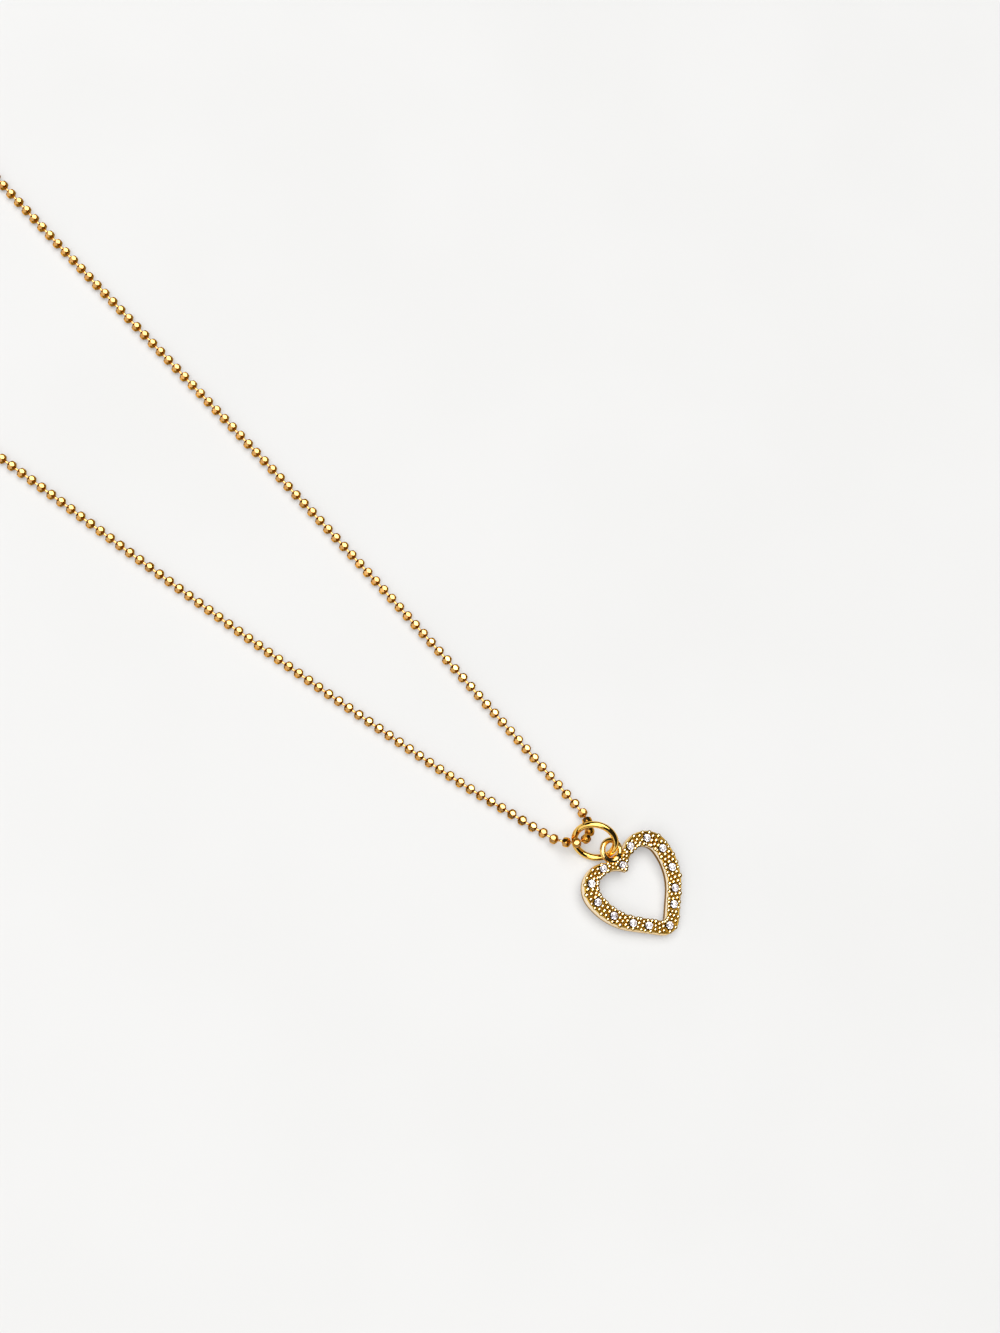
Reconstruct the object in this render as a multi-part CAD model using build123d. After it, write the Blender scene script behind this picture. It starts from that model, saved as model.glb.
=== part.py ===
from build123d import *
import math
import os

os.makedirs("parts", exist_ok=True)

# Sizes in mm, with the necklace lying flat and its clasp towards +Y

# Heart band, in its own axes: u across, v from tip to notch, w up
heart_width = 13.9
heart_length = 13.1
lobe_radius = 3.4
tip_radius = 2.06
notch_radius = 2.2
flank_band = 1.73
side_band = 2.05
top_band = 1.6
notch_band = 1.93
window_lobe_radius = 1.9
window_tip_radius = 0.6
window_notch_radius = 0.3
band_height = 1.62
band_edge = 0.14
heart_heading = 79.57

# Stones, by their shares of half the outline from tip to notch, and the grains that hold them
stone_shares = [0.0, 0.168, 0.272, 0.414, 0.557, 0.716, 0.879, 1.0]
stone_width = 1.0
stone_gap = 0.1
crown_height = 0.24
girdle_height = 0.06
pavilion_height = 0.42
stone_lift = 0.02
table_width = 0.56
culet_width = 0.16
grain_width = 0.42
grain_top = 0.23
grain_height = 0.24
grain_sink = 0.08
grain_pitch = 0.46
grain_margin = 0.13

# Loop soldered in the notch
loop_radius = 1.35
loop_wire = 0.76
loop_bite = 0.21
loop_lift = 0.39
loop_tilt = 12.0
loop_roll = 10.0
solder_radius = 0.4
solder_spread = 0.45
solder_rise = 0.17

# Jump ring that leans through the loop
ring_radius = 2.71
ring_wire = 0.86
ring_clear = 0.06
ring_lean = 54.55
ring_heading = 198.2
hang_angle = 82.0
hang_offset = (0.02, -0.13, 0.0)

# Chain of small beads, as one tube of the beads' width
bead_width = 1.34
rest = bead_width / 2

# Clasp as one closed ring with a sleeve on each side for the chain's ends
clasp_radius = 2.2
clasp_wire = 0.9
sleeve_wall = 0.25
sleeve_gap = 0.15
sleeve_length = 2.1
sleeve_depth = 1.75
chain_end_gap = 0.2
clasp_centre = (0.15, 207.4)
sleeve_width = bead_width + 2 * (sleeve_gap + sleeve_wall)
sleeve_reach = clasp_radius + clasp_wire / 2 + sleeve_length
clasp_level = sleeve_width / 2
chain_end = sleeve_reach - sleeve_depth + chain_end_gap

# The chain's hidden turns, as steps from the clasp's centre out to where the chain is seen
sleeve_run = 2.0
left_turn = [
    (-sleeve_reach - sleeve_run, 0.0, clasp_level), (-11.75, -1.0, rest), (-18.55, -5.2, rest),
    (-22.75, -12.8, rest), (-23.75, -24.0, rest), (-22.25, -43.8, rest), (-18.55, -75.6, rest),
]
right_turn = [
    (sleeve_reach + sleeve_run, 0.0, clasp_level), (11.75, -0.8, rest), (18.35, -4.5, rest),
    (22.75, -11.8, rest), (23.75, -22.6, rest), (22.75, -34.8, rest), (19.95, -55.2, rest),
    (15.95, -87.8, rest),
]

# The chain's chosen points from its left turn down to the ring, through it and back
chain_route = [
    (-13.4, 91.4, rest), (-9.3, 48.2, rest), (-6.5, 24.6, rest), (-4.7, 13.6, rest),
    (-3.7, 8.3, rest), (-2.95, 4.9, rest), (-2.3, 1.75, 3.3), (-0.35, 1.1, 2.65),
    (1.2, 1.6, 1.6), (2.4, 3.5, rest), (2.9, 5.9, rest), (3.6, 10.6, rest),
    (4.95, 20.2, rest), (7.6, 39.8, rest), (12.0, 79.8, rest),
]

DIAGONAL = math.sqrt(0.5)


def arc(across, along, radius, start, sweep):
    """An arc in the band's plane, by its centre, radius and angles in degrees."""
    return CenterArc((across, along, 0), radius, start, sweep).edge()


def flanked_half(half, lobe_along, tip, line):
    """Right half of a heart from its tip to its widest: tip arc, flank at 45 degrees, side arc.

    The flank is the line across = along + line, and the side arc ends where the lobe begins.
    """
    side = (lobe_along - half + line) / (1 / DIAGONAL - 1)
    tip_along = tip / DIAGONAL - line
    foot = (tip * DIAGONAL, tip_along - tip * DIAGONAL)
    head = (half - side + side * DIAGONAL, lobe_along - side * DIAGONAL)
    return [
        arc(0, tip_along, tip, 270, 45),
        Line(foot, head).edge(),
        arc(half - side, lobe_along, side, 315, 45),
    ]


half_width = heart_width / 2
lobe_across = half_width - lobe_radius
lobe_along = heart_length - lobe_radius
flank_line = tip_radius * (1 / DIAGONAL - 1)
notch_reach = lobe_radius + notch_radius
notch_centre = lobe_along + math.sqrt(notch_reach**2 - lobe_across**2)
notch_along = notch_centre - notch_radius


def outer_half():
    """Right half of the outer edge, from the tip to the bottom of the notch."""
    turn = math.degrees(math.atan2(notch_centre - lobe_along, lobe_across))
    edges = flanked_half(half_width, lobe_along, tip_radius, flank_line)
    edges.append(arc(lobe_across, lobe_along, lobe_radius, 0, 180 - turn))
    edges.append(arc(0, notch_centre, notch_radius, 360 - turn, turn - 90))
    return edges


def window_half():
    """Right half of the inner edge, with a shoulder that runs down to a point at the notch."""
    half = half_width - side_band
    across = half - window_lobe_radius
    top = heart_length - top_band
    along = top - window_lobe_radius
    drop = top - (notch_along - notch_band)
    shoulder = (across**2 + drop**2) / (2 * drop)
    turn = math.degrees(math.asin(across / shoulder))
    line = flank_line - flank_band / DIAGONAL
    edges = flanked_half(half, along, window_tip_radius, line)
    edges.append(arc(across, along, window_lobe_radius, 0, 90))
    edges.append(arc(across, top - shoulder, shoulder, 90, turn))
    return edges


def mirrored(edges):
    """Half an outline and its mirror image across the v axis, as one face."""
    return make_face(edges + [edge.mirror(Plane.YZ) for edge in edges])


def heart_window():
    """The opening inside the band, its point at the notch slightly rounded."""
    face = mirrored(window_half())
    point = face.vertices().filter_by(lambda v: abs(v.X) < 0.01).sort_by(Axis.Y)[-1]
    return fillet(point, radius=window_notch_radius)


outer_path = Wire(outer_half())
window_path = Wire(window_half())


def band_place(share, side):
    """Middle of the band at a share of the outline, the way out across it and its width there."""
    edge = outer_path.position_at(share)
    inner = window_path.position_at(share)
    if 0 < share < 1:
        inner = Vector(*window_path.closest_points(edge)[0])
    across = edge - inner
    middle = (edge + inner) * 0.5
    middle = Vector(side * middle.X, middle.Y, 0)
    return middle, Vector(side * across.X, across.Y, 0).normalized(), across.length


def stone_places():
    """Stone centres: one at the tip, one at the notch and the pairs between them."""
    right = [band_place(share, 1)[0] for share in stone_shares]
    left = [band_place(share, -1)[0] for share in stone_shares[1:-1]]
    return right + left[::-1]


def grain_places():
    """Grains in three staggered rows in each gap between two stones."""
    places = []
    for side in (1, -1):
        for low, high in zip(stone_shares, stone_shares[1:]):
            middle, across, width = band_place((low + high) / 2, side)
            along = Vector(-across.Y, across.X, 0)
            spread = width / 2 - grain_width / 2 - grain_margin
            for row, steps in ((-1, (-1, 0, 1)), (0, (-0.5, 0.5)), (1, (-1, 0, 1))):
                for step in steps:
                    places.append(middle + along * (row * grain_pitch) + across * (step * spread))
    return places


def narrowing(sides, width, top_width, height, turn):
    """A block with a many-sided foot that narrows to its top width."""
    foot = Plane.XY * RegularPolygon(width / 2, sides, rotation=turn)
    top = Plane.XY.offset(height) * RegularPolygon(top_width / 2, sides, rotation=turn)
    return loft([foot, top], ruled=True)


def cut_stone():
    """A round stone: table, eight main facets, eight between, girdle and pavilion."""
    girdle = narrowing(8, stone_width, stone_width, girdle_height, 0)
    main = narrowing(8, stone_width, table_width, crown_height, 0)
    between = narrowing(8, stone_width * 1.02, table_width * 1.16, crown_height, 22.5)
    crown = Pos(0, 0, girdle_height) * (main & between)
    under = narrowing(8, stone_width, culet_width, pavilion_height, 0)
    return girdle + crown + under.mirror(Plane.XY)


stone_level = band_height + stone_lift
loop_along = notch_along + loop_wire / 2 - loop_bite
loop_level = band_height / 2 + loop_lift
loop_place = Pos(0, loop_along, loop_level) * Rotation(loop_tilt, 0, 0) * Pos(0, loop_radius, 0)


def heart_frame():
    """The soldered body: band, loop, solder, grains and the seats of the stones."""
    band = extrude(mirrored(outer_half()), band_height) - extrude(heart_window(), band_height)
    band = chamfer(band.edges().group_by(Axis.Z)[-1], band_edge)
    loop = loop_place * Rotation(0, loop_roll, 0) * Torus(loop_radius, loop_wire / 2)
    blob = Pos(0, notch_along + solder_rise, loop_level) * Sphere(solder_radius)
    solder = [Pos(side * solder_spread, 0, 0) * blob for side in (-1, 1)]
    stud = narrowing(6, grain_width, grain_top, grain_height + grain_sink, 0)
    grains = [Pos(p.X, p.Y, band_height - grain_sink) * stud for p in grain_places()]
    body = band + [loop] + solder + grains
    seat_floor = stone_level - pavilion_height - stone_gap
    height = band_height + grain_height + stone_width - seat_floor
    seat = Cylinder(stone_width / 2 + stone_gap, height)
    return body - [Pos(p.X, p.Y, seat_floor + height / 2) * seat for p in stone_places()]


ring_level = ring_radius * math.sin(math.radians(ring_lean)) + ring_wire / 2 + ring_clear
ring_place = Pos(0, 0, ring_level) * Rotation(0, 0, ring_heading) * Rotation(0, ring_lean, 0)


def heart_place():
    """Where the heart lies: its loop round the ring's wire and its tip on the ground."""
    angle = math.radians(hang_angle)
    wire = Pos(ring_radius * math.cos(angle), ring_radius * math.sin(angle), 0)
    target = (ring_place * wire).position - Vector(*hang_offset)
    along = loop_place.position.Y
    level = loop_place.position.Z
    lean = math.asin(target.Z / math.hypot(along, level)) - math.atan2(level, along)
    turn = Rotation(0, 0, heart_heading - 90) * Rotation(math.degrees(lean), 0, 0)
    reach = (turn * loop_place).position
    print("heart leans", round(math.degrees(lean), 2))
    return Pos(target.X - reach.X, target.Y - reach.Y, 0) * turn


def chain_tube():
    """Straight runs joined by tangent arcs, each as large as its two runs allow."""
    middle = Vector(*clasp_centre)
    left = [middle + Vector(*step) for step in [(-chain_end, 0, clasp_level)] + left_turn]
    right = [middle + Vector(*step) for step in [(chain_end, 0, clasp_level)] + right_turn]
    points = left + [Vector(*point) for point in chain_route] + right[::-1]
    radii = []
    for before, here, after in zip(points, points[1:], points[2:]):
        turn = (here - before).get_angle(after - here)
        shorter = min((here - before).length, (after - here).length)
        radii.append(0.45 * shorter / math.tan(math.radians(turn) / 2))
    print("chain radii", [round(r, 2) for r in radii])
    path = FilletPolyline(*points, radius=radii)
    section = Plane(origin=path @ 0, z_dir=path % 0) * Circle(bead_width / 2)
    tube = sweep(section, path=path)
    print("chain length", round(path.length, 2), "volume", round(tube.volume, 2))
    print("section by length", round(math.pi * (bead_width / 2) ** 2 * path.length, 2))
    return tube


def clasp():
    """The closed ring and its two blind sleeves, one solid."""
    body = Torus(clasp_radius, clasp_wire / 2)
    length = sleeve_reach - clasp_radius
    sleeve = Rotation(0, 90, 0) * Cylinder(sleeve_width / 2, length)
    bore = Rotation(0, 90, 0) * Cylinder(bead_width / 2 + sleeve_gap, 2 * sleeve_depth)
    body = body + [Pos(side * (sleeve_reach - length / 2), 0, 0) * sleeve for side in (-1, 1)]
    body = body - [Pos(side * sleeve_reach, 0, 0) * bore for side in (-1, 1)]
    return Pos(clasp_centre[0], clasp_centre[1], clasp_level) * body


lying = heart_place()
pieces = {"heart_frame": lying * heart_frame()}
stone = cut_stone()
for index, place in enumerate(stone_places()):
    pieces[f"stone_{index + 1:02d}"] = lying * Pos(place.X, place.Y, stone_level) * stone
pieces["jump_ring"] = ring_place * Torus(ring_radius, ring_wire / 2)
pieces["chain"] = chain_tube()
pieces["clasp"] = clasp()

# The whole is moved so that its box stands over the origin
box = Compound(children=[Compound(piece.solids()) for piece in pieces.values()]).bounding_box()
shift = Pos(-(box.min.X + box.max.X) / 2, -(box.min.Y + box.max.Y) / 2, -box.min.Z)
print("shift", shift.position, "size", box.size)
for name, piece in pieces.items():
    moved = shift * piece
    print(name, len(moved.solids()), round(moved.volume, 3), moved.is_valid)
    export_step(moved, f"parts/{name}.step")
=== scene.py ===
import math
import bpy
import numpy as np
from mathutils import Matrix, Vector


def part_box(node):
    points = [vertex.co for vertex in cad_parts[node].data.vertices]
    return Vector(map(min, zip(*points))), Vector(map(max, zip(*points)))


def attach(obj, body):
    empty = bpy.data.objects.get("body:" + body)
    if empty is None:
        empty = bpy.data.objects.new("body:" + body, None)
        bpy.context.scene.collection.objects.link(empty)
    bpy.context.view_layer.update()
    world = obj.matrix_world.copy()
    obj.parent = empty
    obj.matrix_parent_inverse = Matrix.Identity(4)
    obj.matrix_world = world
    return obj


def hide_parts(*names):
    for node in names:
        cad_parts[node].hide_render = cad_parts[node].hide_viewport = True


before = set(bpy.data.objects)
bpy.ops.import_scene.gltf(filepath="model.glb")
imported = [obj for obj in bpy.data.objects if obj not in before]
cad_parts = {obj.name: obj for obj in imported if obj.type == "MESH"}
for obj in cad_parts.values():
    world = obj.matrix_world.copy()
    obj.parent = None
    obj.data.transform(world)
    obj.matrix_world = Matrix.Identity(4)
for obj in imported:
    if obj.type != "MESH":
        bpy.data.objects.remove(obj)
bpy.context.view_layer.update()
scene = bpy.context.scene
# the pieces' measures are in mm and degrees, those of the shaders and the studio in metres
mm = 0.001
chance = np.random.default_rng(14)


# Meshes from arrays

def meshObject(name, points, corners, counts, smooth, materials):
    # points in mm, corners as one run of vertex numbers, counts as the corners of each face
    mesh = bpy.data.meshes.new(name)
    mesh.vertices.add(len(points))
    mesh.vertices.foreach_set("co", (np.asarray(points) * mm).astype(np.float32).ravel())
    mesh.loops.add(len(corners))
    mesh.loops.foreach_set("vertex_index", np.asarray(corners, np.int32))
    mesh.polygons.add(len(counts))
    starts = np.concatenate([[0], np.cumsum(counts)[:-1]]).astype(np.int32)
    mesh.polygons.foreach_set("loop_start", starts)
    mesh.polygons.foreach_set("use_smooth", np.asarray(smooth, bool))
    mesh.update(calc_edges=True)
    mesh.validate()
    for material in materials:
        mesh.materials.append(material)
    made = bpy.data.objects.new(name, mesh)
    scene.collection.objects.link(made)
    return made


def gridFaces(rows, columns, closedRows, closedColumns):
    # each face joins row i and i + 1, column j and j + 1, and wraps where the grid is closed
    i = np.arange(rows if closedRows else rows - 1)[:, None]
    j = np.arange(columns if closedColumns else columns - 1)[None, :]
    below = (i + 1) % rows
    beside = (j + 1) % columns
    faces = np.stack([i * columns + j, i * columns + beside,
                      below * columns + beside, below * columns + j], axis=-1)
    return faces.reshape(-1, 4)


def quadObject(name, points, faces, material):
    counts = np.full(len(faces), 4)
    return meshObject(name, points, faces.ravel(), counts, np.ones(len(faces)), [material])


def capped(points, faces, size):
    # a tube of rings with a flat face over its first and its last ring
    ends = [np.arange(size)[::-1], np.arange(size) + len(points) - size]
    corners = np.concatenate([faces.ravel()] + ends)
    counts = np.concatenate([np.full(len(faces), 4), [size, size]])
    return points, corners, counts


def repeated(name, shape, smooth, centres, turns, sizes, material):
    # copies one shape: each copy is its turn times the shape times its size, plus its centre
    points, corners, counts = shape
    placed = np.einsum("nij,pj->npi", turns, points) * sizes[:, None, None] + centres[:, None, :]
    steps = (np.arange(len(centres)) * len(points))[:, None]
    return meshObject(name, placed.reshape(-1, 3), (corners[None] + steps).ravel(),
                      np.tile(counts, len(centres)), np.tile(smooth, len(centres)), [material])


def spread(piece, domain="POINT", **marks):
    # each mark as one value for every point or face, or one number for all of them
    count = len(piece.data.vertices if domain == "POINT" else piece.data.polygons)
    for name, values in marks.items():
        layer = piece.data.attributes.new(name, "FLOAT", domain)
        layer.data.foreach_set("value", np.full(count, values, np.float32))


def unit(vectors):
    return vectors / np.linalg.norm(vectors, axis=-1, keepdims=True)


# Shader maths on sockets

class Field:
    def __init__(self, tree, socket=None):
        self.tree = tree
        self.socket = socket

    def make(self, kind, settings, inputs, output=0):
        # a new node with its settings and inputs, as the field of one of its outputs
        node = self.tree.nodes.new(kind)
        for key, value in settings.items():
            setattr(node, key, value)
        for key, value in inputs.items():
            if isinstance(value, Field):
                self.tree.links.new(value.socket, node.inputs[key])
            else:
                node.inputs[key].default_value = value
        return Field(self.tree, node.outputs[output])

    def maths(self, operation, first, second):
        return self.make("ShaderNodeMath", {"operation": operation}, {0: first, 1: second})

    def __add__(self, other):
        return self.maths("ADD", self, other)

    __radd__ = __add__

    def __mul__(self, other):
        return self.maths("MULTIPLY", self, other)

    __rmul__ = __mul__

    def ramp(self, low, high):
        # 0 at low, 1 at high, smooth between
        return self.make("ShaderNodeMapRange", {"interpolation_type": "SMOOTHSTEP"},
                         {"Value": self, "From Min": low, "From Max": high})

    def blend(self, first, second):
        # a colour from first to second as this field goes from 0 to 1
        return self.make("ShaderNodeMix", {"data_type": "RGBA"},
                         {"Factor": self, 6: first, 7: second}, 2)

    def noise(self, scale, detail):
        return self.make("ShaderNodeTexNoise", {},
                         {"Vector": self, "Scale": scale, "Detail": detail})

    def mark(self, name):
        # a mark that spread put on the piece
        return self.make("ShaderNodeAttribute", {"attribute_name": name}, {}, "Fac")


def newMaterial(name, settings):
    # a material with constants on its shader, and its object coordinates
    material = bpy.data.materials.new(name)
    material.use_nodes = True
    tree = material.node_tree
    shader = tree.nodes["Principled BSDF"]
    for key, value in settings.items():
        shader.inputs[key].default_value = value
    coordinates = Field(tree).make("ShaderNodeTexCoord", {}, {}, "Object")
    return material, shader, coordinates


def drive(shader, key, field):
    field.tree.links.new(field.socket, shader.inputs[key])


gold = {
    "heart": ((0.960, 0.650, 0.125, 1.0), (0.870, 0.515, 0.070, 1.0)),
    "ring": ((0.940, 0.605, 0.150, 1.0), (0.860, 0.500, 0.100, 1.0)),
    "chain": ((0.880, 0.436, 0.070, 1.0), (0.770, 0.336, 0.048, 1.0)),
    "pale": (1.000, 0.900, 0.720, 1.0),
    "paintedShadeBrown": (0.150, 0.062, 0.003, 1.0),
    "paintedFootShadeBrown": (0.110, 0.028, 0.010, 1.0),
    "edgeTint": (1.000, 0.740, 0.400, 1.0),
    "roughness": 0.10,
    "ringRoughness": 0.04,
    "wear": 0.10,
    "dull": 0.30,
    "satin": 0.12,
    "mottleScale": 420.0,
    "mottleDetail": 3.0,
    "mottleRange": (0.35, 0.75),
    "scratchScale": 2600.0,
    "scratchDetail": 2.0,
    "scratchRange": (0.5, 0.8),
    "bump": 0.05,
    "bumpReach": 0.00004,
}


def goldMaterial(name, metal, roughness, marked):
    # polished gold, its colour from the first to the second with the mottle; on a marked
    # piece it is paler as painted highlight and painted reflection, brown along the foot of its
    # walls as painted shade, and deep brown as painted shade in its recesses; on the loop, its
    # solder and the bars the marks give an even tint instead
    material, shader, place = newMaterial(name, {
        "Metallic": 1.0, "Specular Tint": gold["edgeTint"]})
    mottle = place.noise(gold["mottleScale"], gold["mottleDetail"])
    scratch = place.noise(gold["scratchScale"], gold["scratchDetail"])
    colour = mottle.ramp(*gold["mottleRange"]).blend(*gold[metal])
    finish = roughness + gold["wear"] * scratch.ramp(*gold["scratchRange"])
    if marked:
        wall, hollow, foot = [place.mark(key) for key in ("wall", "hollow", "foot")]
        # paler as painted highlight, brown as painted shade at the wall foot, then deep brown as
        # painted shade
        colour = foot.blend(wall.blend(colour, gold["pale"]), gold["paintedFootShadeBrown"])
        colour = hollow.blend(colour, gold["paintedShadeBrown"])
        finish = finish + gold["dull"] * hollow + gold["satin"] * wall
    drive(shader, "Base Color", colour)
    drive(shader, "Roughness", finish)
    drive(shader, "Normal", place.make("ShaderNodeBump", {},
          {"Strength": gold["bump"], "Distance": gold["bumpReach"], "Height": mottle}))
    return material


stoneLook = {
    "colour": (0.985, 0.975, 1.0, 1.0),
    "shade": (0.10, 0.08, 0.13, 1.0),
    "ior": 1.9,
    "roughness": 0.01,
}


def stoneMaterial():
    # clear stone with a faint violet, darker on some of its facets as painted dark reflections
    material, shader, place = newMaterial("clearStone", {
        "Transmission Weight": 1.0, "IOR": stoneLook["ior"], "Roughness": stoneLook["roughness"]})
    colour = place.mark("facet").blend(stoneLook["colour"], stoneLook["shade"])
    drive(shader, "Base Color", colour)
    return material


heartGold = goldMaterial("heartGold", "heart", gold["roughness"], True)
ringGold = goldMaterial("ringGold", "ring", gold["ringRoughness"], False)
chainGold = goldMaterial("chainGold", "chain", gold["roughness"], True)
claspGold = goldMaterial("claspGold", "chain", gold["roughness"], False)
clearStone = stoneMaterial()
print("materials made")


# Heart, in its own axes: u across, v from tip to notch, w up

heart = {
    "tip": (-1.924, -112.687, 0.0),
    "heading": 79.57,
    "lean": 3.93,
    "halfWidth": 6.95,
    "length": 13.1,
    "lobe": 3.4,
    "tipRadius": 2.06,
    "notchRadius": 2.2,
    "flankBand": 1.73,
    "sideBand": 2.05,
    "topBand": 1.6,
    "notchBand": 1.93,
    "windowLobe": 1.9,
    "windowTip": 0.6,
    "partLengths": (1.62, 4.5, 6.0, 8.0, 1.7),
    "height": 1.62,
    "edge": 0.13,
    "foot": 0.08,
    "footRound": 0.3,
    "bulge": 0.08,
    "rim": 0.10,
    "rimFlat": 0.4,
    "topWithin": 0.001,
    "sunk": 0.13,
    "seatTop": 0.60,
    "seatFoot": 0.50,
    "seatDepth": 0.55,
    "dark": 0.92,
    "footLine": 0.60,
    "footLineInside": 0.92,
    "footSoft": 0.14,
    "edgeDark": 0.70,
    "steps": 1400,
    "acrossSteps": 30,
    "wallSteps": 12,
    "edgeSteps": 5,
}

headingAngle = math.radians(heart["heading"] - 90)
leanAngle = math.radians(heart["lean"])
heartU = np.array([math.cos(headingAngle), math.sin(headingAngle), 0.0])
levelV = np.array([-math.sin(headingAngle), math.cos(headingAngle), 0.0])
heartV = levelV * math.cos(leanAngle) + np.array([0.0, 0.0, math.sin(leanAngle)])
heartW = np.cross(heartU, heartV)
heartAxes = np.stack([heartU, heartV, heartW], axis=1)
heartTip = np.array(heart["tip"])


def fromHeart(points):
    return heartTip + points @ heartAxes.T


def toHeart(points):
    return (points - heartTip) @ heartAxes


def arcPoints(centre, radius, start, sweep, count):
    # centre plus radius times (cosine, sine) of the angle, in degrees, without its last point
    angle = np.radians(start + sweep * np.arange(count) / count)
    across = centre[0] + radius * np.cos(angle)
    return np.stack([across, centre[1] + radius * np.sin(angle)], axis=1)


def flank(half, lobeAlong, tip, line, counts):
    # tip arc, straight flank at 45 degrees and side arc, from the tip to the widest point; the
    # line is how far below the outer tip both flanks would meet, and the side arc's radius is
    # the one that touches the flank and ends level at the widest point
    diagonal = math.sqrt(0.5)
    side = (lobeAlong - half + line) / (1 / diagonal - 1)
    tipAlong = tip / diagonal - line
    foot = np.array([tip * diagonal, tipAlong - tip * diagonal])
    head = np.array([half - side + side * diagonal, lobeAlong - side * diagonal])
    share = np.arange(counts[1])[:, None] / counts[1]
    return [arcPoints((0, tipAlong), tip, 270, 45, counts[0]), foot + (head - foot) * share,
            arcPoints((half - side, lobeAlong), side, 315, 45, counts[2])]


def heartOutlines():
    # outer and inner edge of the band, point for point, right half and its mirror image, and
    # how far along the notch lies; both edges have the same number of points in each part
    half, lobe, notch = heart["halfWidth"], heart["lobe"], heart["notchRadius"]
    lobeAcross, lobeAlong = half - lobe, heart["length"] - lobe
    # the notch's arc touches both lobes, so its centre is both radii away from theirs
    notchCentre = lobeAlong + math.sqrt((lobe + notch) ** 2 - lobeAcross ** 2)
    turn = math.degrees(math.atan2(notchCentre - lobeAlong, lobeAcross))
    line = heart["tipRadius"] * (math.sqrt(2) - 1)
    lengths = np.array(heart["partLengths"])
    counts = np.round(lengths / lengths.sum() * heart["steps"] / 2).astype(int)
    outer = flank(half, lobeAlong, heart["tipRadius"], line, counts)
    outer.append(arcPoints((lobeAcross, lobeAlong), lobe, 0, 180 - turn, counts[3]))
    outer.append(arcPoints((0, notchCentre), notch, 360 - turn, turn - 90, counts[4]))
    window, windowLobe = half - heart["sideBand"], heart["windowLobe"]
    across = window - windowLobe
    top = heart["length"] - heart["topBand"]
    drop = top - (notchCentre - notch - heart["notchBand"])
    # the shoulder's arc starts level at the window's top and comes down by the drop
    shoulder = (across ** 2 + drop ** 2) / (2 * drop)
    bend = math.degrees(math.asin(across / shoulder))
    innerLine = line - heart["flankBand"] * math.sqrt(2)
    inner = flank(window, top - windowLobe, heart["windowTip"], innerLine, counts)
    inner.append(arcPoints((across, top - windowLobe), windowLobe, 0, 90, counts[3]))
    inner.append(arcPoints((across, top - shoulder), shoulder, 90, bend, counts[4]))
    sides = []
    for edges in (outer, inner):
        right = np.concatenate(edges)
        left = right[1:][::-1] * [-1, 1]
        sides.append(np.concatenate([right, left]))
    return sides[0], sides[1], notchCentre - notch


def outwardNormals(outline):
    # the tangent between both neighbours, turned a quarter to the right of its run
    tangent = unit(np.roll(outline, -1, axis=0) - np.roll(outline, 1, axis=0))
    return np.stack([tangent[:, 1], -tangent[:, 0]], axis=1)


outerEdge, innerEdge, notchAlong = heartOutlines()
outerOut = outwardNormals(outerEdge)
innerOut = outwardNormals(innerEdge)
stoneNames = [f"stone_{number:02d}" for number in range(1, 15)]
stoneBoxes = np.array([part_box(name) for name in stoneNames])
stoneMiddles = toHeart(stoneBoxes.mean(axis=1) / mm)


def bandSection():
    # for each point of the section: share across the band, inset from its edge, and height;
    # a wall bulges out by half a sine wave from its foot to its rounded upper edge
    edge, foot, height = heart["edge"], heart["foot"], heart["height"]
    quarter = np.radians(np.linspace(0, 90, heart["edgeSteps"]))
    rise = np.linspace(foot, height - edge, heart["wallSteps"])[:-1]
    bulge = -heart["bulge"] * np.sin(np.pi * (rise - foot) / (height - edge - foot))
    low = foot * heart["footRound"]
    outerSide = [(0, foot, 0.0), (0, low, low)]
    outerSide += [(0, inset, level) for inset, level in zip(bulge, rise)]
    outerSide += [(0, edge * (1 - math.cos(turn)), height - edge + edge * math.sin(turn))
                  for turn in quarter]
    top = [(share, edge, height) for share in np.linspace(0, 1, heart["acrossSteps"])[1:-1]]
    innerSide = [(1, inset, level) for _, inset, level in outerSide[::-1]]
    return np.array(outerSide + top + innerSide)


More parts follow.
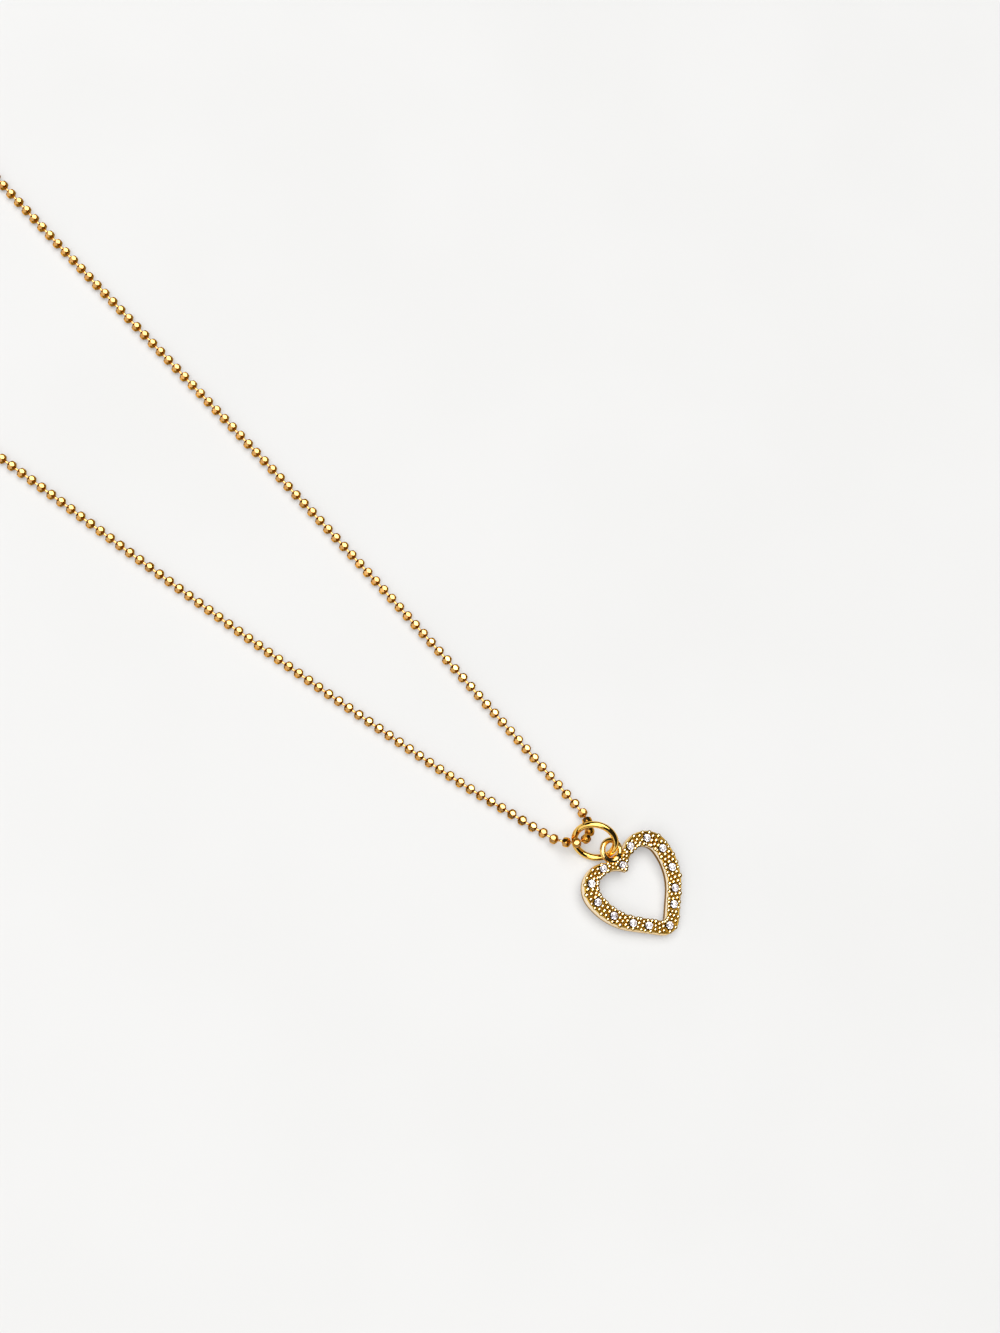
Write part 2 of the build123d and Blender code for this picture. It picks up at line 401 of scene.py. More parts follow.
def heartBand():
    # points between both edges at a share, moved in from the edge by the inset, at their
    # height; the top is sunk inside its rims and falls in a smooth slope to each stone's seat
    section = bandSection()
    share = section[None, :, 0:1]
    inset = section[None, :, 1:2]
    start = outerEdge[:, None, :] - outerOut[:, None, :] * inset
    finish = innerEdge[:, None, :] + innerOut[:, None, :] * inset
    flat = start * (1 - share) + finish * share
    level = np.repeat(section[None, :, 2], len(outerEdge), axis=0)
    across = share[:, :, 0]
    width = np.linalg.norm(outerEdge - innerEdge, axis=1)[:, None]
    fromRim = np.minimum(across, 1 - across) * width
    sunk = np.clip((fromRim - heart["rim"] * heart["rimFlat"]) / heart["rim"], 0, 1)
    toStones = flat[:, :, None, :] - stoneMiddles[None, None, :, :2]
    gap = np.linalg.norm(toStones, axis=-1).min(axis=2)
    slope = np.clip((heart["seatTop"] - gap) / (heart["seatTop"] - heart["seatFoot"]), 0, 1)
    slope = slope * slope * (3 - 2 * slope)
    onTop = section[None, :, 2] > heart["height"] - heart["topWithin"]
    drop = np.maximum(heart["sunk"] * sunk, heart["seatDepth"] * slope) * onTop
    points = np.concatenate([flat, (level - drop)[:, :, None]], axis=2)
    faces = gridFaces(*level.shape, True, True)
    made = quadObject("heartBand", fromHeart(points.reshape(-1, 3)), faces, heartGold)
    # painted shade in the sunk top, its seats and over the rounded edges, painted pale reflection
    # on the walls below them, painted brown shade at the foot under its line
    rounded = np.clip((level - heart["height"] + heart["edge"]) / heart["edge"], 0, 1)
    hollow = np.maximum(np.clip(drop / heart["sunk"], 0, 1) * heart["dark"],
                        rounded * heart["edgeDark"])
    wall = np.clip(1 - 2 * rounded, 0, 1)
    line = heart["foot"] + heart["footLine"] * (1 - across) + heart["footLineInside"] * across
    foot = np.clip((line - level) / heart["footSoft"], 0, 1) * ~onTop
    spread(made, hollow=hollow.ravel(), wall=wall.ravel(), foot=foot.ravel())
    return made


band = heartBand()
print("heart band", len(band.data.polygons))


# Grains on the band

grain = {
    "share": 0.52,
    "largest": 0.33,
    "threeRoom": 1.12,
    "lift": 1.56,
    "squash": 0.80,
    "rowPitch": 0.56,
    "fewestRows": 2,
    "stagger": 0.5,
    "stoneRoom": 1.60,
    "edgeRoom": 0.20,
    "pairEdge": 0.9,
    "pairRadius": 0.27,
    "besideStone": 0.34,
    "pointRoom": 0.34,
    "pointRadius": 0.32,
    "sides": 16,
    "rings": 9,
    "vary": 0.26,
    "stray": 0.07,
    "darkFrom": 0.70,
    "darkOver": 0.32,
    "paleFrom": 0.80,
    "paleOver": 0.12,
    "pale": 0.72,
    "dark": 0.84,
}


def ballShape(sides, rings):
    # rings at equal angles from near the lower pole to near the upper, with a small flat
    # face over the first and the last; a ring is its angle's sine wide and its cosine up
    poleGap = 0.12
    polar = np.linspace(math.pi - poleGap, poleGap, rings + 1)[:, None]
    around = (2 * math.pi * np.arange(sides) / sides)[None, :]
    points = np.stack([np.sin(polar) * np.cos(around), np.sin(polar) * np.sin(around),
                       np.cos(polar) + 0 * around], axis=-1)
    return capped(points.reshape(-1, 3), gridFaces(rings + 1, sides, False, True), sides)


def grainPlaces():
    # place and radius of each: staggered rows in each gap, pairs on both edges before and
    # after each stone, and one at the inner point
    centreLine = (outerEdge + innerEdge) / 2
    acrossWay = unit(outerEdge - innerEdge)
    width = np.linalg.norm(outerEdge - innerEdge, axis=1)
    order = np.sort([np.argmin(np.linalg.norm(centreLine - middle[:2], axis=1))
                     for middle in stoneMiddles])
    run = np.concatenate([[0], np.cumsum(np.linalg.norm(np.diff(centreLine, axis=0), axis=1))])
    whole = run[-1] + np.linalg.norm(centreLine[0] - centreLine[-1])
    places, radii = [], []
    for here, after in zip(order, np.roll(order, -1)):
        gap = (run[after] - run[here]) % whole
        rows = int(round((gap - grain["stoneRoom"]) / grain["rowPitch"])) + 1
        rows = max(grain["fewestRows"], rows)
        for row in range(rows):
            spot = run[here] + gap / 2 + (row - (rows - 1) / 2) * grain["rowPitch"]
            index = np.argmin(np.abs(run - spot % whole))
            room = width[index] - 2 * grain["edgeRoom"]
            many = 3 if room > grain["threeRoom"] else 2
            pitch = room / (many - grain["stagger"])
            shift = grain["stagger"] / 2 + grain["stagger"] * (row % 2)
            steps = (np.arange(many) - many / 2 + shift) * pitch
            places.append(centreLine[index] + acrossWay[index] * steps[:, None])
            radii += [min(grain["share"] * pitch, grain["largest"])] * many
        for shift in (-grain["besideStone"], grain["besideStone"]):
            index = np.argmin(np.abs(run - (run[here] + shift) % whole))
            reach = width[index] / 2 - grain["edgeRoom"] * grain["pairEdge"]
            places.append(centreLine[index] + acrossWay[index] * np.array([[-reach], [reach]]))
            radii += [grain["pairRadius"]] * 2
    places.append([[0.0, notchAlong - heart["notchBand"] + grain["pointRoom"]]])
    return np.concatenate(places), np.array(radii + [grain["pointRadius"]])


def heartGrains():
    # flattened balls, each strayed and resized a little; painted shade round the foot, painted
    # highlight on top
    flat, radii = grainPlaces()
    count = len(flat)
    flat = flat + grain["stray"] * (chance.random((count, 2)) - 0.5)
    centres = fromHeart(np.concatenate([flat, np.full((count, 1), grain["lift"])], axis=1))
    sizes = radii * (1 + grain["vary"] * (chance.random(count) - 0.5))
    ball, corners, counts = ballShape(grain["sides"], grain["rings"])
    height = ball[:, 2]
    turns = np.repeat(heartAxes[None], count, axis=0)
    made = repeated("heartGrains", (ball * [1, 1, grain["squash"]], corners, counts),
                    np.ones(len(counts)), centres, turns, sizes, heartGold)
    dark = np.clip((grain["darkFrom"] - height) / grain["darkOver"], 0, 1) * grain["dark"]
    pale = np.clip((height - grain["paleFrom"]) / grain["paleOver"], 0, 1) * grain["pale"]
    spread(made, hollow=np.tile(dark, count), wall=np.tile(pale, count), foot=0.0)
    return made


grains = heartGrains()
print("grains", len(grains.data.polygons))


# Loop soldered in the notch

loop = {
    "radius": 1.35,
    "wire": 0.38,
    "bite": 0.17,
    "level": 1.20,
    "tilt": 12.0,
    "roll": 10.0,
    "swell": 0.55,
    "swellReach": 34.0,
    "solder": (0.86, 0.40, 0.44),
    "solderAlong": 0.05,
    "solderDown": 0.12,
    "pale": 0.22,
    "dark": 0.12,
    "steps": 96,
    "sides": 28,
    "solderSides": 32,
    "solderRings": 18,
}


def turned(axis, degrees):
    return np.array(Matrix.Rotation(math.radians(degrees), 3, axis))


def tubeRing(shape, swell=0.0, reach=1.0):
    # a point on the ring plus the wire's radius, which swells by a bell curve of the reach
    # in degrees round the ring's foot at -90 degrees
    radius, wire, steps, sides = [shape[key] for key in ("radius", "wire", "steps", "sides")]
    around = 2 * math.pi * np.arange(steps) / steps
    about = (2 * math.pi * np.arange(sides) / sides)[None, :]
    away = np.degrees(np.abs((around + math.pi / 2 + math.pi) % (2 * math.pi) - math.pi))
    thick = (wire * (1 + swell * np.exp(-(away / reach) ** 2)))[:, None]
    out = radius + thick * np.cos(about)
    points = np.stack([out * np.cos(around)[:, None], out * np.sin(around)[:, None],
                       thick * np.sin(about)], axis=-1)
    return points.reshape(-1, 3), gridFaces(steps, sides, True, True)


def heartLoop():
    # the ring stood on its foot, rolled, tilted, and set into the notch
    points, faces = tubeRing(loop, loop["swell"], loop["swellReach"])
    foot = [0, notchAlong + loop["wire"] - loop["bite"], loop["level"]]
    points = points @ turned("Y", loop["roll"]).T + [0, loop["radius"], 0]
    points = points @ turned("X", loop["tilt"]).T + foot
    return quadObject("heartLoop", fromHeart(points), faces[:, ::-1], heartGold)


def heartSolder():
    # a ball stretched across the notch, round the loop's foot
    ball, corners, counts = ballShape(loop["solderSides"], loop["solderRings"])
    middle = [0, notchAlong + loop["solderAlong"], loop["level"] - loop["solderDown"]]
    return meshObject("heartSolder", fromHeart(ball * loop["solder"] + middle), corners, counts,
                      np.ones(len(counts)), [heartGold])


heartRing = heartLoop()
solder = heartSolder()
for piece in (heartRing, solder):
    spread(piece, hollow=loop["dark"], wall=loop["pale"], foot=0.0)
for piece in (band, grains, heartRing, solder):
    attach(piece, "root")
    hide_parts("heart_frame")
print("loop made")


# Stones, each a round brilliant

brilliant = {
    "girdle": 0.5,
    "girdleHeight": 0.05,
    "crown": 0.24,
    "table": 0.285,
    "starShare": 0.42,
    "starDrop": 0.40,
    "pavilion": 0.42,
    "mainReach": 0.30,
    "mainDrop": 0.72,
    "lift": 0.06,
    "spin": 45,
    "tilt": 5,
    "shadePower": 1.4,
}


def brilliantShape():
    # a table, star, main and girdle facets down to a girdle of sixteen sides, and below it
    # half facets and mains down to the culet; each ring is its radius at its level
    eighth = np.radians(np.arange(8) * 45.0)
    between = eighth + math.radians(22.5)
    sixteenth = np.radians(np.arange(16) * 22.5)
    table, girdle, pavilion = [brilliant[key] for key in ("table", "girdle", "pavilion")]
    top = brilliant["girdleHeight"]
    tableLevel = top + brilliant["crown"]

    def ring(angles, radius, level):
        return np.stack([radius * np.cos(angles), radius * np.sin(angles),
                         np.full(len(angles), level)], axis=1)

    points = np.concatenate([
        ring(between, table, tableLevel),
        ring(eighth, table + (girdle - table) * brilliant["starShare"],
             tableLevel - brilliant["crown"] * brilliant["starDrop"]),
        ring(sixteenth, girdle, top),
        ring(sixteenth, girdle, 0.0),
        ring(between, girdle * brilliant["mainReach"], -pavilion * brilliant["mainDrop"]),
        [[0.0, 0.0, -pavilion]],
    ])
    # first vertex of each ring after the table, and the culet's
    star, upper, lower, main, culet = 8, 16, 32, 48, 56
    faces = [list(range(8))]
    for k in range(8):
        after, before = (k + 1) % 8, (k - 1) % 8
        here, beside = 2 * k, 2 * k + 1
        faces.append([before, star + k, k])
        faces.append([k, star + k, upper + beside, star + after])
        faces.append([star + k, upper + here, upper + beside])
        faces.append([star + k, upper + (here - 1) % 16, upper + here])
        faces.append([lower + here, main + k, lower + beside])
        faces.append([lower + (here + 2) % 16, lower + beside, main + k])
        faces.append([lower + here, culet, main + k])
        faces.append([lower + here, main + before, culet])
    for k in range(16):
        after = (k + 1) % 16
        faces.append([upper + k, lower + k, lower + after, upper + after])
    return points, faces


stonePoints, stoneFaces = brilliantShape()
stoneCorners = np.concatenate(stoneFaces)
stoneCounts = np.array([len(face) for face in stoneFaces])
for name, middle in zip(stoneNames, stoneMiddles):
    spin, tilt = chance.random() * brilliant["spin"], brilliant["tilt"] * (chance.random() - 0.5)
    turn = turned("Z", spin) @ turned("X", tilt)
    placed = stonePoints @ turn.T + middle + [0, 0, brilliant["lift"]]
    visible = meshObject(name.replace("_", "") + "Cut", fromHeart(placed), stoneCorners,
                         stoneCounts, np.zeros(len(stoneFaces)), [clearStone])
    # painted dark reflections: a random darkening for each facet
    shade = chance.random(len(stoneFaces)) ** brilliant["shadePower"]
    spread(visible, "FACE", facet=shade)
    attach(visible, "root")
    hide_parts(name)
print("stones", len(stoneNames))


# Jump ring

jumpRing = {
    "centre": (-0.1476, -97.2288, 2.6975),
    "axis": (-0.7739, -0.2544, 0.5800),
    "radius": 2.71,
    "wire": 0.43,
    "steps": 160,
    "sides": 36,
}


def wholeRing(name, shape, material):
    # a ring of round wire turned to its axis; x is across where the axis is upright
    upright = 0.99
    up = unit(np.array(shape["axis"]))
    level = np.cross([0.0, 0.0, 1.0], up) if abs(up[2]) < upright else [1.0, 0.0, 0.0]
    across = unit(np.array(level))
    turn = np.stack([across, np.cross(up, across), up], axis=1)
    points, faces = tubeRing(shape)
    return quadObject(name, points @ turn.T + shape["centre"], faces[:, ::-1], material)


ring = wholeRing("jumpRingWire", jumpRing, ringGold)
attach(ring, "root")
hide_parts("jump_ring")
print("jump ring made")


# Chain of cut beads joined by short bars

chain = {
    "shift": (-0.1476, -97.2288, 0.0),
    "flats": 8,
    "flat": 0.610,
    "flatTall": 0.32,
    "flatCorner": 0.34,
    "capLevel": 0.545,
    "capSize": 0.30,
    "tip": 0.5,
    "upFlat": 6,
    "leftFlat": 5,
    "flatPale": 0.14,
    "leftPale": 0.16,
    "leftDark": 0.30,
    "sideDark": 0.70,
    "cutDark": 0.78,
    "climbLight": 0.90,
    "cornerDark": 1.00,
    "capDark": 0.50,
    "barDark": 0.0,
    "wander": 3.0,
    "wanderRate": 0.31,
    "scatter": 6.0,
    "pitch": 1.6,
    "bar": 0.17,
    "barSides": 8,
    "claspRoom": 0.55,
    "ringRoom": 0.0001,
    "curveStep": 0.01,
}

# middle of the chain before its shift, as in CAD: the left strand from the clasp, the beads
# at the ring, and the right strand back to the clasp
chainLeft = [
    (-3.05, 207.4, 1.07), (-6.0, 207.38, 1.07), (-9.01, 206.92, 0.88), (-14.49, 204.61, 0.67),
    (-19.03, 200.75, 0.67), (-21.87, 195.49, 0.67), (-23.04, 189.63, 0.67), (-23.39, 183.64, 0.67),
    (-23.16, 177.64, 0.67), (-22.71, 171.66, 0.67), (-22.2, 165.68, 0.67), (-21.62, 159.71, 0.67),
    (-20.03, 145.8, 0.67), (-18.39, 131.9, 0.67), (-16.6, 117.8, 0.67), (-15.0, 104.6, 0.67),
    (-13.41, 91.53, 0.67), (-12.24, 78.6, 0.67), (-11.13, 66.03, 0.67), (-9.86, 53.27, 0.67),
    (-8.41, 40.47, 0.67), (-6.79, 27.67, 0.67), (-4.93, 15.08, 0.67), (-3.95, 9.9, 0.67),
    (-3.5, 7.4, 0.67),
]
ringBeads = [
    (-3.20, 5.80, 0.72), (-2.98, 4.22, 1.08), (-2.47, 2.73, 1.92), (-2.00, 1.68, 3.10),
    (-0.58, 1.10, 2.70), (0.78, 1.28, 1.89), (1.87, 2.36, 1.35), (2.55, 3.51, 0.70),
    (2.82, 5.10, 0.67), (3.05, 6.75, 0.67), (3.28, 8.39, 0.67),
]
chainRight = [
    (3.7, 11.46, 0.67), (4.57, 17.76, 0.67), (6.28, 30.35, 0.67), (7.92, 43.07, 0.67),
    (9.44, 55.82, 0.67), (10.83, 68.5, 0.67), (12.12, 81.09, 0.67), (13.37, 93.86, 0.67),
    (14.65, 106.61, 0.67), (16.08, 119.51, 0.67), (18.0, 135.3, 0.67), (20.08, 151.77, 0.67),
    (21.19, 160.15, 0.67), (22.01, 166.09, 0.67), (22.76, 172.04, 0.67), (23.34, 178.02, 0.67),
    (23.69, 184.0, 0.67), (23.42, 190.0, 0.67), (22.35, 195.88, 0.67), (19.48, 201.13, 0.67),
    (14.9, 204.92, 0.67), (9.33, 207.01, 0.88), (6.3, 207.38, 1.07), (3.36, 207.4, 1.07),
]


def smoothCurve(knots, spacing):
    # natural cubic through the knots over their chord lengths, sampled at the spacing: the
    # knots on both sides times their shares, plus for each its bend times the cube of its
    # share less the share, times a sixth of the step squared
    run = np.concatenate([[0], np.cumsum(np.linalg.norm(np.diff(knots, axis=0), axis=1))])
    step = np.diff(run)
    count = len(knots)
    system = np.eye(count)
    middle = np.arange(1, count - 1)
    system[middle, middle - 1] = step[:-1]
    system[middle, middle] = 2 * (step[:-1] + step[1:])
    system[middle, middle + 1] = step[1:]
    slope = np.diff(knots, axis=0) / step[:, None]
    right = np.zeros_like(knots)
    right[1:-1] = 6 * np.diff(slope, axis=0)
    bend = np.linalg.solve(system, right)
    at = np.arange(0, run[-1], spacing)
    k = np.clip(np.searchsorted(run, at, side="right") - 1, 0, count - 2)
    a = ((run[k + 1] - at) / step[k])[:, None]
    b = 1 - a
    span = (step[k] ** 2 / 6)[:, None]
    bent = ((a ** 3 - a) * bend[k] + (b ** 3 - b) * bend[k + 1]) * span
    return a * knots[k] + b * knots[k + 1] + bent


def spaced(curve, before, after):
    # points on the curve, less a length at each end, at the whole number of pitches nearest
    run = np.concatenate([[0], np.cumsum(np.linalg.norm(np.diff(curve, axis=0), axis=1))])
    last = run[-1] - after
    count = int(round((last - before) / chain["pitch"]))
    at = np.linspace(before, last, count + 1)
    return np.stack([np.interp(at, run, curve[:, axis]) for axis in range(3)], axis=1)


def beadCentres():
    # strand to the ring, the beads at the ring one by one, and the strand back to the clasp
    curve = smoothCurve(np.array(chainLeft + ringBeads + chainRight), chain["curveStep"])
    enter = np.argmin(np.linalg.norm(curve - ringBeads[0], axis=1))
    leave = np.argmin(np.linalg.norm(curve - ringBeads[-1], axis=1))
    toRing = spaced(curve[:enter + 1], chain["claspRoom"], chain["ringRoom"])
    fromRing = spaced(curve[leave:], 0.0, chain["claspRoom"])
    return np.concatenate([toRing[:-1], ringBeads, fromRing[1:]]) + chain["shift"]


facesPerFlat = 7


def cutBead():
    # flats round the axis, each an eight-sided face that shares its side with the next, and
    # slanted cuts that narrow to a cap of twice as many corners; a point on a flat is the
    # flat's distance out plus its own distance across
    many, flat, tall, cut = [chain[key] for key in ("flats", "flat", "flatTall", "flatCorner")]
    step = 2 * math.pi / many
    middles = np.arange(many) * step
    side = flat * math.tan(step / 2)

    def onFlats(across, level):
        return np.stack([flat * np.cos(middles) - across * np.sin(middles),
                         flat * np.sin(middles) + across * np.cos(middles),
                         np.full(many, level)], axis=1)

    def cap(level):
        angles = (np.arange(2 * many) - 0.5) * step / 2
        return np.stack([chain["capSize"] * np.cos(angles), chain["capSize"] * np.sin(angles),
                         np.full(2 * many, level)], axis=1)

    # runs of corners: upper left and right, shared upper and lower, lower right and left, caps
    runs = [(-side * cut, tall), (side * cut, tall), (side, tall * cut), (side, -tall * cut),
            (side * cut, -tall), (-side * cut, -tall)]
    points = np.concatenate([onFlats(across, level) for across, level in runs]
                            + [cap(chain["capLevel"]), cap(-chain["capLevel"])])
    upper, lower = 6 * many, 8 * many
    faces = []
    for k in range(many):
        after, before = (k + 1) % many, (k - 1) % many
        a, b, c, d, e, f = [run * many + k for run in range(6)]
        nextA, nextF = after, 5 * many + after
        here, beside = 2 * k, (2 * k + 2) % (2 * many)
        faces.append([2 * many + before, 3 * many + before, f, e, d, c, b, a])
        faces.append([b, c, nextA])
        faces.append([nextF, d, e])
        faces.append([a, b, upper + here + 1, upper + here])
        faces.append([b, nextA, upper + beside, upper + here + 1])
        faces.append([f, lower + here, lower + here + 1, e])
        faces.append([e, lower + here + 1, lower + beside, nextF])
    faces.append(list(range(upper, lower)))
    faces.append(list(range(lower, lower + 2 * many))[::-1])
    counts = np.array([len(face) for face in faces])
    return points, np.concatenate(faces), counts


def alongTurns(ways, spins):
    # axes with the third along the way, turned about it by the spin from a level start
    side = unit(np.cross(ways, [0.0, 0.0, 1.0]))
    other = np.cross(ways, side)
    first = side * np.cos(spins)[:, None] + other * np.sin(spins)[:, None]
    return np.stack([first, np.cross(ways, first), ways], axis=2)


def chainBeads(centres):
    # one flat of each bead faces nearly up, with a slow wander and a little scatter; all
    # axes point towards the clasp
    ways = unit(np.gradient(centres, axis=0))
    ways = ways * np.where(ways[:, 1:2] < 0, -1, 1)
    number = np.arange(len(centres))
    wander = (chain["wander"] * np.sin(number * chain["wanderRate"])
              + chain["scatter"] * (chance.random(len(centres)) - 0.5))
    turns = alongTurns(ways, np.radians(chain["tip"] + wander))
    bead = cutBead()
    sides = bead[2]
    made = repeated("chainBeads", bead, np.zeros(len(sides)), centres, turns,
                    np.ones(len(centres)), chainGold)
    # faces of eight corners are the flats: one faces up and one left, both paler as painted
    # highlight, the left one with some painted shade, and the other odd ones are darker as painted
    # shade. Faces of three corners are the corners, those of four the cuts, and the last two the
    # caps, all darker as painted shade. The painted shade is weaker where the chain climbs
    isFlat = sides == 8
    flatNumber = np.arange(len(sides)) // facesPerFlat
    up = isFlat & (flatNumber == chain["upFlat"])
    left = isFlat & (flatNumber == chain["leftFlat"])
    odd = isFlat & (flatNumber % 2 == 1) & ~left
    pale = np.select([left, up], [chain["leftPale"], chain["flatPale"]], 0.0)
    dark = np.select([odd, left, isFlat, sides == 3, sides == 4],
                     [chain["sideDark"], chain["leftDark"], 0.0, chain["cornerDark"],
                      chain["cutDark"]], chain["capDark"])
    climb = 1 - chain["climbLight"] * np.abs(ways[:, 2:3])
    spread(made, "FACE", wall=np.tile(pale, len(centres)), hollow=(climb * dark).ravel(),
           foot=0.0)
    return made


def chainBars(centres, sleeves):
    # one bar from each bead's centre to the next, and one from each end into its sleeve: a
    # round tube of length one, stretched along its own axis
    whole = np.concatenate([[sleeves[0]], centres, [sleeves[1]]])
    start, finish = whole[:-1], whole[1:]
    turns = alongTurns(unit(finish - start), np.zeros(len(start)))
    sides = chain["barSides"]
    angles = 2 * math.pi * np.arange(sides) / sides
    circle = np.stack([np.cos(angles), np.sin(angles), 0 * angles], axis=1) * chain["bar"]
    lengths = np.linalg.norm(finish - start, axis=1)
    turns[:, :, 2] *= lengths[:, None]
    points = np.concatenate([circle, circle + [0, 0, 1]])
    bar = capped(points, gridFaces(2, sides, False, True), sides)
    made = repeated("chainBars", bar, bar[2] == 4, start, turns, np.ones(len(start)), chainGold)
    spread(made, wall=chain["flatPale"], hollow=chain["barDark"], foot=0.0)
    return made


# the clasp's measures stand before its own code because the chain's last bars end in it
clasp = {
    "centre": (0.0024, 110.1712, 1.07),
    "axis": (0.0, 0.0, 1.0),
    "radius": 2.2,
    "wire": 0.45,
    "steps": 96,
    "sides": 28,
    "sleeve": 1.07,
    "sleeveSides": 40,
    "bore": 0.82,
    "reach": 4.75,
    "depth": 1.75,
    "barRoom": 0.3,
    "overlap": 0.1,
    "axisGap": 0.001,
    "backEdge": (0.12, 0.04),
    "frontEdge": (0.10, 0.03),
    "boreEdge": (0.05, 0.06),
}
claspMiddle = np.array(clasp["centre"])
endReach = clasp["reach"] - clasp["depth"] + clasp["barRoom"]
centres = beadCentres()
beads = chainBeads(centres)
bars = chainBars(centres, (claspMiddle - [endReach, 0, 0], claspMiddle + [endReach, 0, 0]))
for piece in (beads, bars):
    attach(piece, "root")
    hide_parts("chain")
print("beads", len(centres), "faces", len(beads.data.polygons))


# Clasp, plain as it is hidden

def claspSleeves():
    # a profile of distance along and radius, turned about the sleeve's axis, on both sides:
    # from the axis out over the back edge, along to the front edge, and back into the bore
    reach, outer, bore, sides = [clasp[key] for key in ("reach", "sleeve", "bore", "sleeveSides")]
    start, floor = clasp["radius"] - clasp["overlap"], reach - clasp["depth"]
    axis = clasp["axisGap"]
    back, backMiddle = clasp["backEdge"]
    front, frontMiddle = clasp["frontEdge"]
    boreAlong, boreOut = clasp["boreEdge"]
    profile = np.array([
        (start, axis), (start, outer - back), (start + backMiddle, outer - backMiddle),
        (start + back, outer), (reach - front, outer), (reach - frontMiddle, outer - frontMiddle),
        (reach, outer - front), (reach, bore + boreOut), (reach - boreAlong, bore),
        (floor, bore), (floor, axis)])
    about = 2 * math.pi * np.arange(sides) / sides
    along, radius = profile[:, 0:1], profile[:, 1:2]
    one = np.stack([along + 0 * about[None], radius * np.cos(about), radius * np.sin(about)],
                   axis=-1).reshape(-1, 3)
    other = one * [-1, -1, 1]
    faces = gridFaces(len(profile), sides, False, True)[:, ::-1]
    return quadObject("claspSleeves", np.concatenate([one, other]) + claspMiddle,
                      np.concatenate([faces, faces + len(one)]), claspGold)


claspRing = wholeRing("claspRing", clasp, claspGold)
sleeves = claspSleeves()
for piece in (claspRing, sleeves):
    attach(piece, "root")
    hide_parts("clasp")
print("clasp made")


# Floor, light and camera

studio = {
    "floor": (0.432, 0.435, 0.438, 1.0),
    "floorShade": (0.422, 0.425, 0.427, 1.0),
    "shadeScale": 30.0,
    "shadeDetail": 2.0,
    "shadeRange": (0.3, 0.7),
    "floorGlow": 0.30,
    "glowColour": (1.000, 0.983, 0.945, 1.0),
    "floorHalf": 2.0,
    "floorBelow": 0.02,
    "floorRoughness": 0.9,
    "floorSpecular": 0.1,
    "world": (0.022, 0.020, 0.019, 1.0),
    "backdrop": (0.780, 0.780, 0.775, 1.0),
    "heart": (-0.002, -0.105, 0.0),
    "lampReach": 3.0,
    "levelAim": (0.99, 1, 0),
}

# place and size in metres and power in watts, for a reach of one
lamps = {
    "keyLamp": {"place": (0.150, -0.200, 0.600), "size": (0.34, 0.34), "power": 1.3,
                "colour": (1.0, 0.99, 0.975), "level": False},
    "skyLamp": {"place": (0.10, 0.25, 0.90), "size": (0.75, 1.25), "power": 10.7,
                "colour": (1.0, 1.0, 1.0), "level": True},
    "sideLamp": {"place": (-0.42, -0.06, 0.50), "size": (0.55, 0.35), "power": 1.9,
                 "colour": (1.0, 1.0, 1.0), "level": False},
    "lowCard": {"place": (-0.62, 0.20, 0.26), "size": (1.1, 0.36), "power": 1.25,
                "colour": (1.0, 0.97, 0.93), "level": False},
}


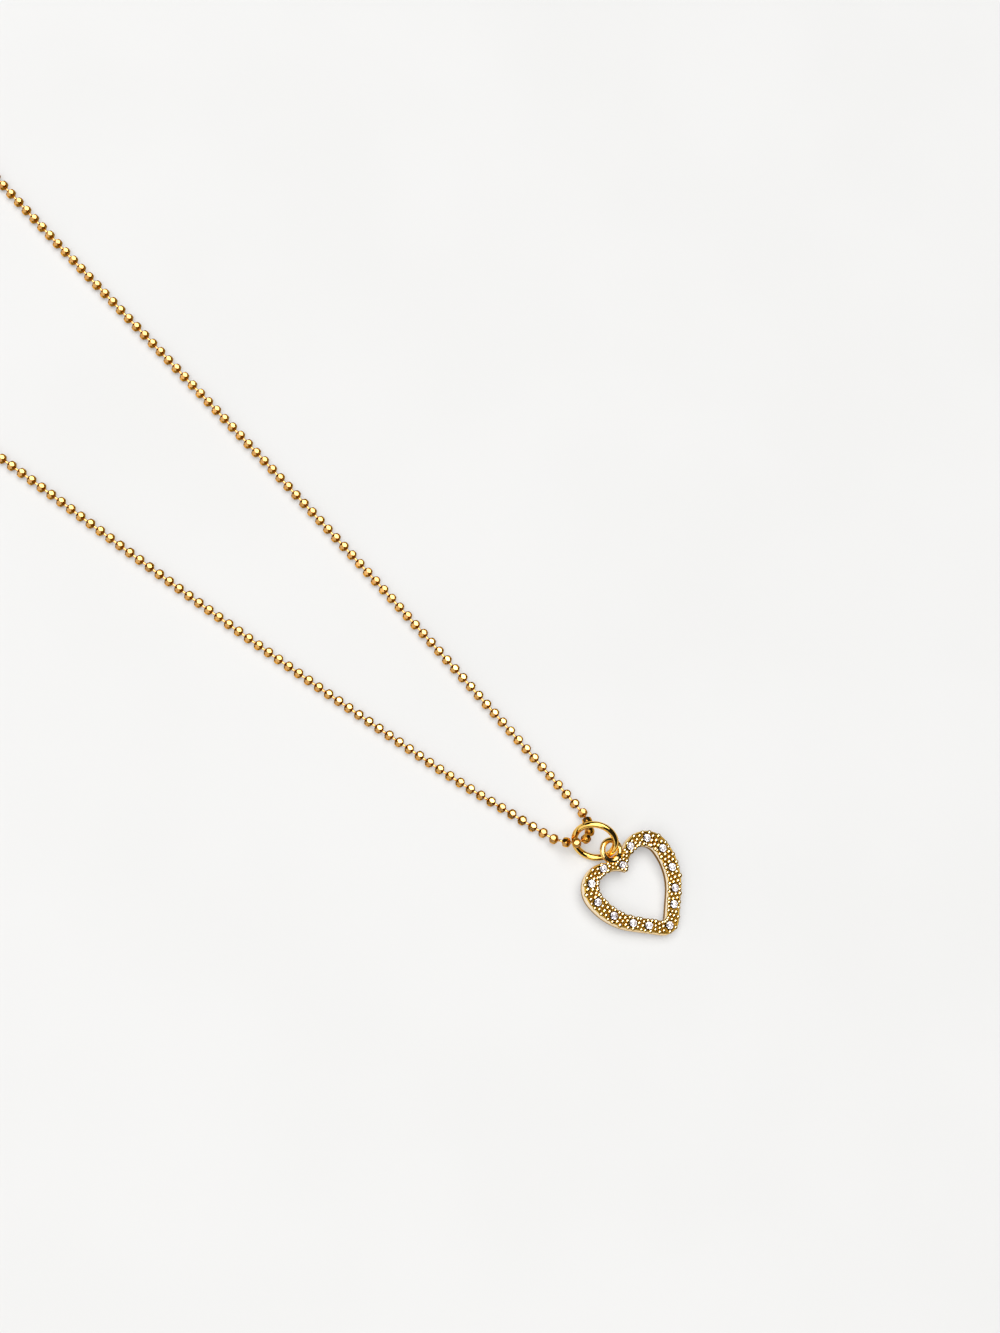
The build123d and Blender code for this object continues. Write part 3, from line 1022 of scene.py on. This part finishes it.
def lamp(name):
    # a soft box that faces the heart, or the floor all but straight below where it is level;
    # moved out and enlarged together, it looks the same from the heart and lights more floor
    box, reach, heartSpot = lamps[name], studio["lampReach"], np.array(studio["heart"])
    place = heartSpot + (np.array(box["place"]) - heartSpot) * reach
    data = bpy.data.lights.new(name, "AREA")
    data.shape = "RECTANGLE"
    data.size = box["size"][0] * reach
    data.size_y = box["size"][1] * reach
    data.energy = box["power"] * reach ** 2
    data.color = box["colour"]
    made = bpy.data.objects.new(name, data)
    made.visible_camera = False
    scene.collection.objects.link(made)
    away = unit(place - (place * studio["levelAim"] if box["level"] else heartSpot))
    across = unit(np.cross([0.0, 0.0, 1.0], away))
    turn = np.stack([across, np.cross(away, across), away], axis=1)
    made.matrix_world = Matrix.Translation(place) @ Matrix(turn.tolist()).to_4x4()
    return made


def paleFloor():
    # a square just below the part, floorBelow in mm, with a faint glow and a faint mottle
    half, level = studio["floorHalf"] / mm, -studio["floorBelow"]
    points = np.array([(-half, -half, level), (half, -half, level),
                       (half, half, level), (-half, half, level)])
    material, shader, place = newMaterial("paleFloor", {
        "Roughness": studio["floorRoughness"], "Specular IOR Level": studio["floorSpecular"],
        "Emission Strength": studio["floorGlow"], "Emission Color": studio["glowColour"]})
    shade = place.noise(studio["shadeScale"], studio["shadeDetail"]).ramp(*studio["shadeRange"])
    drive(shader, "Base Color", shade.blend(studio["floor"], studio["floorShade"]))
    return quadObject("paleFloor", points, np.array([[0, 1, 2, 3]]), material)


floor = paleFloor()
keyLamp, skyLamp, sideLamp, lowCard = [lamp(name) for name in lamps]

# a dark room for the metal, with a pale backdrop that only the camera sees
world = bpy.data.worlds.new("studioWorld")
world.use_nodes = True
worldTree = world.node_tree
seen = Field(worldTree).make("ShaderNodeLightPath", {}, {}, "Is Camera Ray")
drive(worldTree.nodes["Background"], "Color", seen.blend(studio["world"], studio["backdrop"]))
scene.world = world

camera = {
    "place": (-0.08902, -0.08078, 0.25062),
    "right": (0.6183, -0.7542, 0.2214),
    "up": (0.6937, 0.6560, 0.2976),
    "lens": 54.0,
    "sensor": 36.0,
    "nearest": 0.01,
}
cameraData = bpy.data.cameras.new("photoCamera")
cameraData.lens = camera["lens"]
cameraData.sensor_width = camera["sensor"]
cameraData.clip_start = camera["nearest"]
photoCamera = bpy.data.objects.new("photoCamera", cameraData)
scene.collection.objects.link(photoCamera)
cameraRight = unit(np.array(camera["right"]))
cameraBack = unit(np.cross(cameraRight, camera["up"]))
cameraUp = np.cross(cameraBack, cameraRight)
cameraTurn = Matrix(np.stack([cameraRight, cameraUp, cameraBack], axis=1).tolist()).to_4x4()
photoCamera.matrix_world = Matrix.Translation(camera["place"]) @ cameraTurn
scene.camera = photoCamera
scene.view_settings.view_transform = "Standard"
bpy.context.view_layer.update()
print("stage made")
